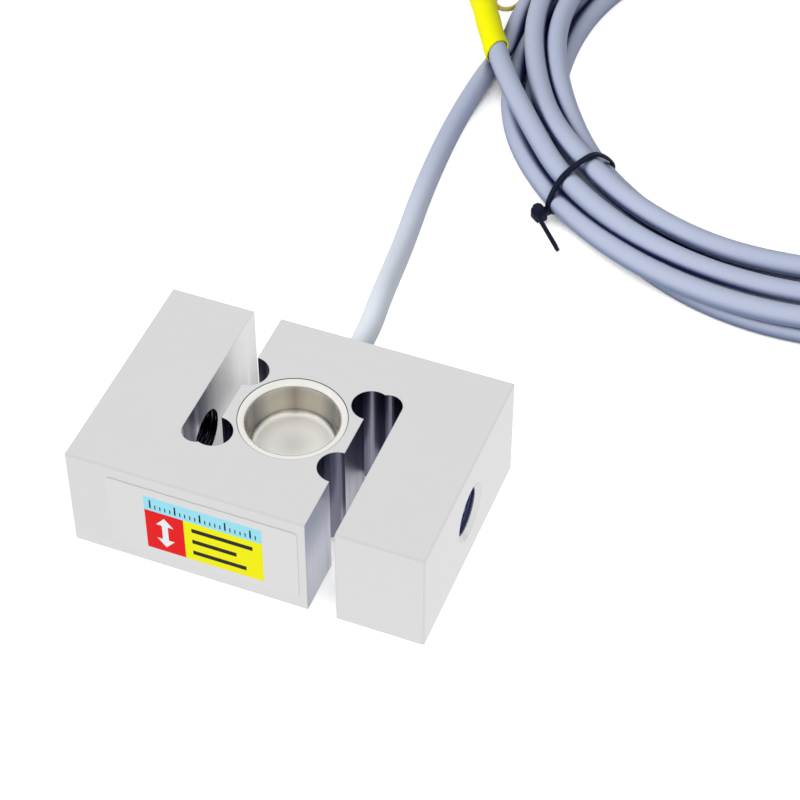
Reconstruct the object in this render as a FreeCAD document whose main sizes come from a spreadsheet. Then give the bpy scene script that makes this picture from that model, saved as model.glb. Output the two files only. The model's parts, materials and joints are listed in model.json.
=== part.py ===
"""S type load cell with a nickel-plated beam, two drawn covers, a bonded bridge and a coiled cable.

The beam lies flat on the table: X runs along the load axis, Y from the label to the cable,
and Z is the beam's thickness. The origin is the middle of the beam's lower face.
"""
import FreeCAD, Part
import math
import os
import re

import Sketcher

X_AXIS = FreeCAD.Vector(1, 0, 0)
Y_AXIS = FreeCAD.Vector(0, 1, 0)
Z_AXIS = FreeCAD.Vector(0, 0, 1)

# Driving dimensions in millimetres, and angles in degrees.
SIZES = {
    # beam
    "body_length": 76.2,
    "body_depth": 50.8,
    "body_height": 25.4,
    "edge_break": 0.25,
    "slot_inner": 13.3,  # from the beam's middle to a slot's near wall
    "slot_width": 6.2,
    "slot_reach": 10.0,  # centre of a slot's round end, past the beam's middle
    "notch_radius": 4.0,
    "notch_offset": 9.0,
    "bore_radius": 10.2,
    "seat_radius": 11.2,
    "seat_depth": 0.9,
    "tap_drill": 10.2,  # M12 x 1.75
    "thread_mouth": 12.6,
    # covers
    "fit_gap": 0.05,
    "cover_sheet": 0.4,
    "cover_depth": 7.8,
    "cover_wall_gap": 0.2,
    "cover_draft": 0.5,
    "rim_round": 0.7,
    "rim_edge_round": 0.3,
    "foot_round": 1.2,
    # strain bridge
    "gauge_span": 26.0,
    "gauge_height": 5.0,
    "gauge_foil": 0.12,
    "bond_line": 0.02,
    "bridge_wire": 0.24,
    "wire_spacing": 2.0,
    "board_width": 10.0,
    "board_height": 6.4,
    "board_thick": 0.8,
    "chip_length": 1.6,
    "chip_width": 0.9,
    "chip_height": 0.6,
    "chip_pitch": 1.9,
    # cable and gland
    "cable_diameter": 5.0,
    "core_diameter": 0.9,
    "core_offset": 0.8,
    "pad_column": 3.5,
    "pad_row": 2.1,
    "gland_drill": 7.0,  # M8 x 1
    "gland_stub": 6.0,
    "gland_flange": 2.5,
    "gland_flats": 9.0,
    "washer_radius": 4.6,
    "washer_thick": 0.8,
    "collar_radius": 3.3,
    "collar_length": 1.7,
    "seal_length": 1.0,
    "nut_flats": 8.0,
    "nut_nose": 1.0,
    "nut_nose_radius": 3.2,
    "nut_cone": 1.5,
    # coil, tie and far end
    "coil_x": 72.0,
    "coil_y": 165.5,
    "coil_radius": 73.5,
    "coil_width": 21.0,
    "coil_height": 9.8,
    "coil_shoulder": 4.4,
    "coil_foot": 2.4,
    "tie_bearing": 131.2,  # clockwise from +X, seen from above
    "tie_skew": 4.2,
    "tie_strap": 2.2,
    "tie_thick": 1.0,
    "tie_head": 4.2,
    "tie_head_depth": 3.4,
    "tie_head_lift": 1.6,
    "tie_tail": 11.0,
    "tie_tail_drop": 17.0,
    "sleeve_wall": 0.55,
    "sleeve_length": 30.0,
    "sleeve_start": 12.0,  # past the cable's last bend
    "sleeve_slant": 28.0,
    "end_core_diameter": 1.0,
    "end_core_circle": 1.4,
    # label
    "label_left": -29.4,
    "label_length": 41.0,
    "label_bottom": 3.1,
    "label_height": 19.2,
    "label_film": 0.12,
}

document = FreeCAD.newDocument("LoadCell")
sheet = document.addObject("Spreadsheet::Sheet", "Sizes")
for row, (alias, value) in enumerate(SIZES.items(), 1):
    sheet.set(f"A{row}", alias)
    sheet.set(f"B{row}", str(value))
    sheet.setAlias(f"B{row}", alias)
document.recompute()

parts = {}


# ---- helpers ---------------------------------------------------------------------------------

def size(alias):
    return float(sheet.get(alias))


def formula(text):
    """An expression on the sheet's cells, written with their aliases alone."""
    return re.sub(r"[a-z][a-z_]+", lambda word: "Sizes." + word.group() if word.group() in SIZES
                  else word.group(), text)


def bind(made, **values):
    """Bind properties; a dot in a path is written as two underscores."""
    for path, text in values.items():
        made.setExpression(path.replace("__", "."), formula(text))
    return made


def finish(name, made):
    """Take an object as the finished sub-part that carries this name."""
    made.Label = name
    parts[name] = made
    return made


def plane(body, role):
    return next(feature for feature in body.Origin.OriginFeatures if feature.Role == role)


def sketchOn(body, name, role, lift=None):
    sketch = body.newObject("Sketcher::SketchObject", name)
    sketch.AttachmentSupport = (plane(body, role), "")
    sketch.MapMode = "FlatFace"
    if lift:
        bind(sketch, AttachmentOffset__Base__z=lift)
    return sketch


def pin(sketch, geometry, point, across, up):
    """Hold a point of the sketch at two expressions, or on an axis where one is 0."""
    for kind, axis, text in (("DistanceX", -2, across), ("DistanceY", -1, up)):
        if text == "0":
            sketch.addConstraint(Sketcher.Constraint("PointOnObject", geometry, point, axis))
        else:
            index = sketch.addConstraint(Sketcher.Constraint(kind, -1, 1, geometry, point, 1.0))
            sketch.setExpression(f"Constraints[{index}]", formula(text))


def polygon(sketch, corners):
    count = len(corners)
    start = sketch.GeometryCount
    round_guess = [FreeCAD.Vector(math.cos(2 * math.pi * n / count), math.sin(2 * math.pi * n / count), 0)
                   for n in range(count)]
    for n in range(count):
        sketch.addGeometry(Part.LineSegment(round_guess[n], round_guess[(n + 1) % count]), False)
    for n in range(count):
        after = start + (n + 1) % count
        sketch.addConstraint(Sketcher.Constraint("Coincident", start + n, 2, after, 1))
    for n, (across, up) in enumerate(corners):
        pin(sketch, start + n, 1, across, up)


def rectangle(sketch, left, right, low, high):
    polygon(sketch, [(left, low), (right, low), (right, high), (left, high)])


def circle(sketch, across, up, radius):
    index = sketch.addGeometry(Part.Circle(FreeCAD.Vector(1, 1, 0), Z_AXIS, 1.0), False)
    pin(sketch, index, 3, across, up)
    held = sketch.addConstraint(Sketcher.Constraint("Radius", index, 1.0))
    sketch.setExpression(f"Constraints[{held}]", formula(radius))


def feature(body, kind, name, sketch, **values):
    made = body.newObject("PartDesign::" + kind, name)
    made.Profile = sketch
    bind(made, **values)
    sketch.Visibility = False
    return made


def pocket(body, name, sketch, length=None, upward=False):
    made = feature(body, "Pocket", name, sketch)
    made.Reversed = upward
    if length:
        bind(made, Length=length)
    else:
        made.Type = "ThroughAll"
    return made


def turned(body, name, sketch):
    made = feature(body, "Revolution", name, sketch)
    made.ReferenceAxis = (sketch, ["V_Axis"])
    made.Angle = 360
    return made


def edgesAt(shape, places):
    """Names of the edges at these (across, height) pairs: circles by radius, others by middle."""
    found = []
    for number, edge in enumerate(shape.Edges, 1):
        if isinstance(edge.Curve, Part.Circle):
            here = (edge.Curve.Radius, edge.Curve.Center.z)
        else:
            here = (edge.CenterOfMass.x, edge.CenterOfMass.z)
        if any(math.dist(here, place) < 0.01 for place in places):
            found.append(f"Edge{number}")
    return found


def rounded(body, name, base, places, radius):
    document.recompute()
    made = body.newObject("PartDesign::Fillet", name)
    made.Base = (base, edgesAt(base.Shape, places))
    bind(made, Radius=radius)
    return made


def solid(kind, name, **values):
    return bind(document.addObject("Part::" + kind, name), **values)


def cut(name, base, tool):
    made = document.addObject("Part::Cut", name)
    made.Base = base
    made.Tool = tool
    return made


def fuse(name, *shapes):
    made = document.addObject("Part::MultiFuse", name)
    made.Shapes = list(shapes)
    return made


def tube(name, outer, inner, start, length):
    """A straight tube along local Z."""
    wall = solid("Cylinder", name + "_outside", Radius=outer, Height=length, Placement__Base__z=start)
    hole = solid("Cylinder", name + "_inside", Radius=inner, Height=length, Placement__Base__z=start)
    return cut(name, wall, hole)


# ---- beam ------------------------------------------------------------------------------------

def makeBeam():
    body = document.addObject("PartDesign::Body", "Beam")
    half_length, half_depth = "body_length / 2", "body_depth / 2"
    outline = sketchOn(body, "BlockOutline", "XY_Plane")
    rectangle(outline, "-" + half_length, half_length, "-" + half_depth, half_depth)
    block = feature(body, "Pad", "Block", outline, Length="body_height")
    document.recompute()
    edges = body.newObject("PartDesign::Chamfer", "EdgeBreak")
    edges.Base = (block, [f"Edge{n}" for n in range(1, len(block.Shape.Edges) + 1)])
    bind(edges, Size="edge_break")

    # Two slots from opposite sides leave the S. Each ends in a full round.
    slots = sketchOn(body, "SlotOutline", "XY_Plane")
    outer = "slot_inner + slot_width"
    rectangle(slots, "slot_inner", outer, f"-{half_depth} - slot_width", "slot_reach")
    rectangle(slots, f"-({outer})", "-slot_inner", "-slot_reach", f"{half_depth} + slot_width")
    pocket(body, "Slots", slots, upward=True)
    ends = sketchOn(body, "SlotEndCircles", "XY_Plane")
    middle = "slot_inner + slot_width / 2"
    circle(ends, middle, "slot_reach", "slot_width / 2")
    circle(ends, f"-({middle})", "-slot_reach", "slot_width / 2")
    pocket(body, "SlotEnds", ends, upward=True)

    # Four notches thin the bore's wall where the gauges sit.
    notches = sketchOn(body, "NotchCircles", "XY_Plane")
    for across in ("slot_inner", "-slot_inner"):
        for up in ("notch_offset", "-notch_offset"):
            circle(notches, across, up, "notch_radius")
    pocket(body, "Notches", notches, upward=True)
    bore = sketchOn(body, "BoreCircle", "XY_Plane")
    circle(bore, "0", "0", "bore_radius")
    pocket(body, "Bore", bore, upward=True)
    for name, lift, upward in (("UpperSeat", "body_height", False), ("LowerSeat", None, True)):
        seat = sketchOn(body, name + "Circle", "XY_Plane", lift)
        circle(seat, "0", "0", "seat_radius")
        pocket(body, name, seat, "seat_depth", upward)

    # Load threads run right through both arms, with a countersunk mouth.
    arm = "body_length / 2 - slot_inner - slot_width"
    document.recompute()
    load = sketchOn(body, "LoadThreadCircle", "YZ_Plane", half_length)
    circle(load, "0", "body_height / 2", "tap_drill / 2")
    document.recompute()
    thread = feature(body, "Hole", "LoadThread", load)
    thread.DepthType = "Dimension"
    thread.DrillPoint = "Flat"
    thread.HoleCutType = "Countersink"
    thread.HoleCutCountersinkAngle = 90
    bind(thread, Diameter="tap_drill", Depth=arm + " + slot_width / 4", HoleCutDiameter="thread_mouth")
    document.recompute()
    both = body.newObject("PartDesign::Mirrored", "BothLoadThreads")
    both.Originals = [thread]
    both.MirrorPlane = (plane(body, "YZ_Plane"), [""])
    body.Tip = both
    document.recompute()

    # The cable comes in through the back face.
    for name, radius, length in (
        ("GlandThread", "gland_drill / 2", "gland_stub + washer_thick"),
        ("CablePassage", "cable_diameter / 2 + 2 * fit_gap", half_depth),
    ):
        mouth = sketchOn(body, name + "Circle", "XZ_Plane", "-" + half_depth)
        circle(mouth, "0", "body_height / 2", radius)
        pocket(body, name, mouth, length, upward=True)
    return finish("s_body", body)


# ---- covers ----------------------------------------------------------------------------------

def makeCover(name, upper):
    """A drawn cup: flange on its seat, rounded rim, tapered wall, rounded foot."""
    body = document.addObject("PartDesign::Body", "Cover")
    flange = size("seat_radius") - size("fit_gap")
    wall = size("bore_radius") - size("cover_wall_gap")
    foot = wall - size("cover_draft")
    sheet_thick = size("cover_sheet")
    floor = -size("cover_depth")
    rim = -size("fit_gap")
    profile = sketchOn(body, name + "_profile", "XZ_Plane")
    outer, inner = "bore_radius - cover_wall_gap", "bore_radius - cover_wall_gap - cover_sheet"
    polygon(profile, [
        ("0", "-cover_depth - cover_sheet"),
        (outer + " - cover_draft", "-cover_depth - cover_sheet"),
        (outer, "-seat_depth"),
        ("seat_radius - fit_gap", "-seat_depth"),
        ("seat_radius - fit_gap", "-fit_gap"),
        (inner, "-fit_gap"),
        (inner + " - cover_draft", "-cover_depth"),
        ("0", "-cover_depth"),
    ])
    shell = turned(body, name + "_turned", profile)
    foot_outside = [(foot, floor - sheet_thick)]
    shell = rounded(body, name + "_foot_outside", shell, foot_outside, "foot_round + cover_sheet")
    shell = rounded(body, name + "_foot_inside", shell, [(foot - sheet_thick, floor)], "foot_round")
    shell = rounded(body, name + "_rim", shell, [(wall - sheet_thick, rim)], "rim_round")
    rounded(body, name + "_rim_edge", shell, [(flange, rim)], "rim_edge_round")
    if upper:
        bind(body, Placement__Base__z="body_height")
    else:
        body.Placement.Rotation = FreeCAD.Rotation(X_AXIS, 180)
    return finish(name, body)


# ---- strain bridge inside the bore -----------------------------------------------------------

def gaugeBearing():
    return math.degrees(math.atan2(size("notch_offset"), size("slot_inner")))


def makeGauges():
    """Four foil gauges bonded on the bore's thin walls, one behind each notch."""
    bearing = gaugeBearing()
    places = {"rear_right": bearing, "rear_left": 180 - bearing,
              "front_left": 180 + bearing, "front_right": -bearing}
    for place, angle in places.items():
        outside = "bore_radius - bond_line"
        inside = outside + " - gauge_foil"
        sector = solid("Cylinder", "foil_" + place, Radius=outside, Height="gauge_height",
                       Angle="gauge_span")
        core = solid("Cylinder", "foil_core_" + place, Radius=inside, Height="gauge_height")
        gauge = cut("gauge_" + place, sector, core)
        turn = FreeCAD.Rotation(Z_AXIS, angle - size("gauge_span") / 2)
        gauge.Placement = FreeCAD.Placement(FreeCAD.Vector(), turn)
        bind(gauge, Placement__Base__z="(body_height - gauge_height) / 2")
        finish("strain_gauge_" + place, gauge)


def makeBridgeWires():
    """Enamelled wires along the bore's wall, from gauge to gauge and on to the board."""
    bearing = gaugeBearing()
    half = size("gauge_span") / 2
    air = 1.0
    board_edge = math.degrees(math.acos(size("board_width") / 2 / (size("bore_radius") - size("fit_gap"))))
    spans = []
    for side in (1, -1):
        link = (-bearing + half + air, bearing - half - air)
        lead = (-board_edge + 2 * air, -bearing - half - air)
        for first, last in (link, lead):
            ends = (first, last) if side == 1 else (180 - last, 180 - first)
            spans.append(ends)
    wires = []
    for number, (first, last) in enumerate(spans):
        for row in (-1, 1):
            wire = solid("Torus", f"bridge_wire_{number}{'ab'[row > 0]}",
                         Radius1="bore_radius - fit_gap - bridge_wire / 2", Radius2="bridge_wire / 2",
                         Placement__Base__z=f"body_height / 2 + {row} * wire_spacing / 2")
            wire.Angle3 = last - first
            wire.Placement.Rotation = FreeCAD.Rotation(Z_AXIS, first)
            wires.append(wire)
    return finish("bridge_wires", fuse("bridge_wire_set", *wires))


BOARD_BACK = "sqrt((bore_radius - fit_gap) ^ 2 - (board_width / 2) ^ 2)"


def boardBack():
    return math.sqrt((size("bore_radius") - size("fit_gap")) ** 2 - (size("board_width") / 2) ** 2)


def makeBoard():
    """The terminal board stands on the bore's front wall, on its two long edges."""
    board = solid("Box", "board", Length="board_width", Width="board_thick", Height="board_height",
                  Placement__Base__x="-board_width / 2", Placement__Base__y="-" + BOARD_BACK,
                  Placement__Base__z="(body_height - board_height) / 2")
    finish("terminal_board", board)
    for column, name in enumerate(("zero_resistor", "span_resistor", "temperature_resistor"), -1):
        chip = solid("Box", name + "_chip", Length="chip_width", Width="chip_height", Height="chip_length",
                     Placement__Base__x=f"{column} * chip_pitch - chip_width / 2",
                     Placement__Base__y=f"board_thick - {BOARD_BACK}",
                     Placement__Base__z="(body_height - chip_length) / 2")
        finish(name, chip)


# ---- cables ----------------------------------------------------------------------------------

def roundedPath(points, label):
    """Straight runs joined by tangent arcs. Each arc takes 0.45 of its shorter run."""
    points = [FreeCAD.Vector(*point) for point in points]
    edges = []
    radii = []
    start = points[0]
    for before, corner, after in zip(points, points[1:], points[2:]):
        back, ahead = (before - corner), (after - corner)
        trim = 0.45 * min(back.Length, ahead.Length)
        back.normalize()
        ahead.normalize()
        half_turn = (math.pi - back.getAngle(ahead)) / 2
        radius = trim / math.tan(half_turn)
        inward = (back + ahead).normalize()
        reach = radius / math.cos(half_turn) - radius
        first, last = corner + back * trim, corner + ahead * trim
        edges.append(Part.LineSegment(start, first).toShape())
        edges.append(Part.Arc(first, corner + inward * reach, last).toShape())
        radii.append(round(radius, 1))
        start = last
    edges.append(Part.LineSegment(start, points[-1]).toShape())
    print("radii of", label, radii)
    return Part.Wire(edges)


def sweptCable(name, points, radius):
    """A round cable of this radius (an expression) along its route."""
    spine = document.addObject("Part::Feature", name + "_route")
    spine.Shape = roundedPath(points, name)
    section = solid("Circle", name + "_section", Radius=radius)
    first, second = FreeCAD.Vector(*points[0]), FreeCAD.Vector(*points[1])
    section.Placement = FreeCAD.Placement(first, FreeCAD.Rotation(Z_AXIS, second - first))
    made = document.addObject("Part::Sweep", name + "_sweep")
    made.Sections = [section]
    made.Spine = (spine, [f"Edge{n}" for n in range(1, len(spine.Shape.Edges) + 1)])
    made.Solid = True
    document.recompute()
    expected = math.pi * section.Radius.Value ** 2 * spine.Shape.Length
    if abs(made.Shape.Volume / expected - 1) > 0.005:
        raise ValueError(f"{name} has volume {made.Shape.Volume:.1f} in place of {expected:.1f}")
    return made


def glandNose():
    return (size("body_depth") / 2 + size("washer_thick") + size("gland_flange") + size("collar_length")
            + size("seal_length") + size("nut_nose"))


def leadRoute():
    """Out of the gland, down to the table, and along it into the coil's side."""
    return [(0, glandNose(), size("body_height") / 2), (0, 40.5, size("body_height") / 2),
            (-1.9, 52, 11.3), (-4.3, 64.5, 7), (-6.9, 79.5, 3.1), (-9.7, 99, 2.5), (-11.3, 122, 2.5),
            (-10.9, 146, 2.5)]


# The loose end lies on the coil, crosses over the lead and dips to the table in its sleeve.
TAIL_ROUTE = [(12, 120.4, 7.4), (-3.3, 138.6, 10.1), (-14.75, 159.3, 6.2)]


def tailHeading():
    return (FreeCAD.Vector(*TAIL_ROUTE[-1]) - FreeCAD.Vector(*TAIL_ROUTE[-2])).normalize()


def sleeveEnd(distance):
    """A point on the sleeve's axis, this far from the tail's last bend."""
    return FreeCAD.Vector(*TAIL_ROUTE[-2]) + tailHeading() * distance


# Stripped cores: bearing in the sleeve's mouth, seen along it, and the points on the table.
END_CORES = {
    "red": (126, [(-32.4, 192.2, 0.5), (-32.9, 210.5, 0.5)]),
    "green": (198, [(-34.9, 188.6, 0.5), (-36.9, 205, 0.5)]),
    "white": (270, [(-28.9, 193.8, 0.5), (-26.9, 211.6, 0.5)]),
    "black": (342, [(-25.2, 194.2, 0.5), (-19.2, 210.2, 0.5)]),
}
# The shield's lead springs up over the others, doubles back and lies beside the coil.
SHIELD_BEARING = 54
SHIELD_END = [(-24.9, 180.2, 4.3), (-23.8, 183.6, 4.1), (-20.6, 184.6, 3.3), (-18.4, 182.2, 1.9),
              (-18.9, 178.2, 0.7), (-19.8, 174.3, 0.5), (-16.6, 172, 0.5), (-13.6, 174.2, 0.5),
              (-13.1, 180.6, 0.5), (-11.6, 188.5, 0.5)]


def makeInnerCable():
    entry = solid("Cylinder", "cable_in_gland", Radius="cable_diameter / 2")
    end = size("bore_radius") + 10 * size("fit_gap")
    entry.Placement = FreeCAD.Placement(FreeCAD.Vector(0, end, 0), FreeCAD.Rotation(X_AXIS, -90))
    bind(entry, Placement__Base__z="body_height / 2")
    entry.Height = glandNose() - end
    finish("cable_entry", entry)
    middle = size("body_height") / 2
    board = size("board_thick") - boardBack()
    for name, across, up in (("red", -1, 1), ("black", 1, 1), ("green", -1, -1), ("white", 1, -1)):
        near = (across * size("core_offset"), middle + up * size("core_offset"))
        far = (across * size("pad_column"), middle + up * size("pad_row"))
        third = (end - board) / 3
        route = [(near[0], end, near[1]), (near[0], end - third, near[1]),
                 (far[0], board + third, far[1]), (far[0], board, far[1])]
        finish("inner_core_" + name, sweptCable("inner_" + name, route, "core_diameter / 2"))


def makeOuterCable():
    finish("cable_lead", sweptCable("lead", leadRoute(), "cable_diameter / 2"))
    finish("cable_tail", sweptCable("tail", TAIL_ROUTE, "cable_diameter / 2"))


def alongAxis(made, point, heading):
    made.Placement = FreeCAD.Placement(point, FreeCAD.Rotation(Z_AXIS, heading))
    return made


def makeSleeve():
    """Heat-shrink sleeve over the jacket's end, cut on a slant at the near end."""
    wall = tube("sleeve_wall_tube", "cable_diameter / 2 + fit_gap + sleeve_wall",
                "cable_diameter / 2 + fit_gap", "0", "sleeve_length")
    wedge = solid("Box", "sleeve_slant_cut", Length="4 * cable_diameter", Width="4 * cable_diameter",
                  Height="2 * cable_diameter")
    slant = FreeCAD.Rotation(X_AXIS, -size("sleeve_slant"))
    corner = FreeCAD.Vector(-2, -2, -2) * size("cable_diameter")
    wedge.Placement = FreeCAD.Placement(slant.multVec(corner), slant)
    sleeve = cut("sleeve_cut", wall, wedge)
    heading = tailHeading()
    level = FreeCAD.Vector(heading.y, -heading.x, 0).normalize()
    up = level.cross(heading)
    frame = FreeCAD.Rotation(up, -level, heading, "ZYX")
    sleeve.Placement = FreeCAD.Placement(sleeveEnd(size("sleeve_start")), frame)
    return finish("end_sleeve", sleeve)


def makeCoreEnds():
    heading = tailHeading()
    level = FreeCAD.Vector(heading.y, -heading.x, 0).normalize()
    up = level.cross(heading)
    jacket = (FreeCAD.Vector(*TAIL_ROUTE[-1]) - FreeCAD.Vector(*TAIL_ROUTE[-2])).Length
    mouth = size("sleeve_start") + size("sleeve_length") + size("end_core_diameter")

    def inSleeve(bearing, distance, circle):
        turn = math.radians(bearing)
        return tuple(sleeveEnd(distance) + (level * math.cos(turn) + up * math.sin(turn)) * circle)

    around = size("end_core_circle")
    for name, (bearing, points) in END_CORES.items():
        route = [inSleeve(bearing, jacket, around), inSleeve(bearing, mouth, around)] + points
        finish("end_core_" + name, sweptCable("end_" + name, route, "end_core_diameter / 2"))
    start = jacket + size("fit_gap")
    stations = [(start, around), ((start + mouth) / 2, around + size("fit_gap")), (mouth, around)]
    route = [inSleeve(SHIELD_BEARING, *station) for station in stations] + SHIELD_END
    finish("end_core_shield", sweptCable("end_shield", route, "end_core_diameter / 2"))


# ---- gland -----------------------------------------------------------------------------------

def backFace(made):
    """Stand a piece made along local Z on the beam's back face, pointing outwards."""
    made.Placement.Rotation = FreeCAD.Rotation(X_AXIS, -90)
    return bind(made, Placement__Base__y="body_depth / 2", Placement__Base__z="body_height / 2")


def hexagon(name, flats, start, length):
    return solid("Prism", name, Circumradius=f"{flats} / sqrt(3)", Height=length, Placement__Base__z=start)


def makeGland():
    free_bore = "cable_diameter / 2 + fit_gap"
    washer = tube("washer_tube", "washer_radius", "gland_drill / 2 + fit_gap", "0", "washer_thick")
    finish("gland_washer", backFace(washer))

    flange = hexagon("gland_hexagon", "gland_flats", "washer_thick", "gland_flange")
    stub = solid("Cylinder", "gland_stub_rod", Radius="gland_drill / 2 - fit_gap",
                 Height="gland_stub + washer_thick", Placement__Base__z="-gland_stub")
    collar_start = "washer_thick + gland_flange"
    collar = solid("Cylinder", "gland_collar", Radius="collar_radius", Height="collar_length",
                   Placement__Base__z=collar_start)
    bore = solid("Cylinder", "gland_bore", Radius=free_bore,
                 Height="gland_stub + washer_thick + gland_flange + collar_length",
                 Placement__Base__z="-gland_stub")
    finish("gland_body", backFace(cut("gland_turned", fuse("gland_blank", flange, stub, collar), bore)))

    seal = tube("seal_tube", "collar_radius", free_bore, collar_start + " + collar_length", "seal_length")
    finish("gland_seal", backFace(seal))

    length = "collar_length + seal_length + nut_nose"
    blank = hexagon("nut_hexagon", "nut_flats", collar_start, length)
    corner = "nut_flats / sqrt(3)"
    barrel = solid("Cylinder", "nut_barrel", Radius=corner, Height=f"{length} - nut_cone",
                   Placement__Base__z=collar_start)
    cone = solid("Cone", "nut_cone_end", Radius1=corner, Radius2="nut_nose_radius", Height="nut_cone",
                 Placement__Base__z=f"{collar_start} + {length} - nut_cone")
    shaped = document.addObject("Part::Common", "nut_shaped")
    shaped.Base = blank
    shaped.Tool = fuse("nut_form", barrel, cone)
    socket = solid("Cylinder", "nut_socket", Radius="collar_radius + fit_gap",
                   Height="collar_length + seal_length", Placement__Base__z=collar_start)
    mouth = solid("Cylinder", "nut_mouth", Radius=free_bore, Height=length, Placement__Base__z=collar_start)
    finish("gland_nut", backFace(cut("nut_bored", shaped, fuse("nut_hollow", socket, mouth))))


# ---- coil and tie ----------------------------------------------------------------------------

def coilSection(body, name, base, inner, outer, low, high, extra="0"):
    """Round a coil section's long edges: full shoulders above, small feet below."""
    above = [(inner, high), (outer, high)]
    below = [(inner, low), (outer, low)]
    base = rounded(body, name + "Shoulder", base, above, "coil_shoulder + " + extra)
    return rounded(body, name + "Foot", base, below, "coil_foot + " + extra)


def makeRing():
    body = document.addObject("PartDesign::Body", "CoilRing")
    section = sketchOn(body, "CoilOutline", "XZ_Plane")
    rectangle(section, "coil_radius - coil_width / 2", "coil_radius + coil_width / 2", "0", "coil_height")
    ring = turned(body, "CoilTurned", section)
    middle, half = size("coil_radius"), size("coil_width") / 2
    coilSection(body, "Coil", ring, middle - half, middle + half, 0, size("coil_height"))
    return bind(body, Placement__Base__x="coil_x", Placement__Base__y="coil_y")


def strapBlock(name, extra, low, width):
    """A short bar with the coil's section, this much larger at the sides and on top."""
    body = document.addObject("PartDesign::Body", name)
    outline = sketchOn(body, name + "Outline", "XZ_Plane", f"-({width}) / 2")
    across = f"(coil_width / 2 + {extra})"
    rectangle(outline, "-" + across, across, low, "coil_height + " + extra)
    bar = feature(body, "Pad", name + "Bar", outline, Length=width)
    document.recompute()
    box = bar.Shape.BoundBox
    coilSection(body, name, bar, box.XMin, box.XMax, box.ZMin, box.ZMax, extra)
    return body


def strapLoop(name, slack, width):
    """The strap round the coil, half let in. slack widens it, for the groove that it lies in."""
    outer = strapBlock(name + "Outside", f"(tie_thick / 2 + {slack})", f"-({slack})", width)
    inner = strapBlock(name + "Inside", f"-(tie_thick / 2 + {slack})", f"tie_thick + {slack}", width)
    return cut(name, outer, inner)


def atTie(made):
    """Set a piece on the coil at the tie, with its local X pointing out of the coil."""
    bearing = math.radians(size("tie_bearing"))
    place = FreeCAD.Vector(size("coil_x") + size("coil_radius") * math.cos(bearing),
                           size("coil_y") - size("coil_radius") * math.sin(bearing), 0)
    turn = FreeCAD.Rotation(Z_AXIS, size("tie_skew") - size("tie_bearing"))
    made.Placement = FreeCAD.Placement(place, turn)
    return made


def makeTie():
    """One moulding: strap loop, ratchet head on the outside, and the trimmed tail."""
    loop = strapLoop("TieLoop", "0", "tie_strap")
    outside = "coil_width / 2 + tie_thick / 4"
    head = solid("Box", "tie_head_block", Length="tie_head_depth", Width="tie_head", Height="tie_head",
                 Placement__Base__x=outside, Placement__Base__y="-tie_head / 2",
                 Placement__Base__z="tie_head_lift")
    tail = solid("Box", "tie_tail_strip", Length="tie_thick", Width="tie_tail", Height="tie_strap",
                 Placement__Base__x=f"{outside} + tie_head_depth - 3 / 2 * tie_thick",
                 Placement__Base__y="tie_head / 4",
                 Placement__Base__z="tie_head_lift + tie_head / 2")
    tail.Placement.Rotation = FreeCAD.Rotation(X_AXIS, -size("tie_tail_drop"))
    return finish("cable_tie", atTie(fuse("tie_moulding", loop, head, tail)))


def makeCoil():
    """The wound turns as one ring, with the tie, the lead and the loose end let in."""
    groove = atTie(strapLoop("TieGroove", "fit_gap", "tie_strap + 2 * fit_gap"))
    channels = [sweptCable(name + "_channel", route, "cable_diameter / 2 + fit_gap")
                for name, route in (("tail", TAIL_ROUTE), ("lead", leadRoute()[-2:]))]
    sleeve = solid("Cylinder", "sleeve_channel", Radius="cable_diameter / 2 + 2 * fit_gap + sleeve_wall",
                   Height="sleeve_length + 2 * cable_diameter")
    alongAxis(sleeve, sleeveEnd(size("sleeve_start") - size("cable_diameter")), tailHeading())
    relief = fuse("coil_relief", groove, sleeve, *channels)
    return finish("cable_coil", cut("coil_cut", makeRing(), relief))


# ---- label -----------------------------------------------------------------------------------

def makeLabel():
    film = solid("Box", "label_box", Length="label_length", Width="label_film", Height="label_height",
                 Placement__Base__x="label_left", Placement__Base__y="-body_depth / 2 - label_film",
                 Placement__Base__z="label_bottom")
    return finish("label_film", film)


# ---- build, check and write ------------------------------------------------------------------

makeBeam()
makeCover("cover_cup_upper", True)
makeCover("cover_cup_lower", False)
makeGauges()
makeBridgeWires()
makeBoard()
makeInnerCable()
makeGland()
makeOuterCable()
makeSleeve()
makeCoreEnds()
makeTie()
makeCoil()
makeLabel()
document.recompute()

faults = [made.Name for made in document.Objects if {"Invalid", "Error"} & set(made.State)]
for made in document.Objects:
    if made.TypeId in ("PartDesign::Pocket", "PartDesign::Hole", "PartDesign::Mirrored"):
        if made.Shape.Volume > made.BaseFeature.Shape.Volume - 0.001:
            faults.append(made.Name + " cuts nothing")
faults += [name for name, made in parts.items() if made.Shape.isNull() or not made.Shape.isValid()]
if faults:
    raise ValueError("these objects failed: " + ", ".join(faults))
os.makedirs("parts", exist_ok=True)
for name, made in parts.items():
    made.Shape.exportStep(f"parts/{name}.step")
    box = made.Shape.BoundBox
    print(f"{name}: {len(made.Shape.Solids)} solid, volume {made.Shape.Volume:.2f}, "
          f"x {box.XMin:.2f} {box.XMax:.2f}, y {box.YMin:.2f} {box.YMax:.2f}, z {box.ZMin:.2f} {box.ZMax:.2f}")
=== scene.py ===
import json
import math
import random

import bmesh
import bpy
from mathutils import Matrix, Vector


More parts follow.
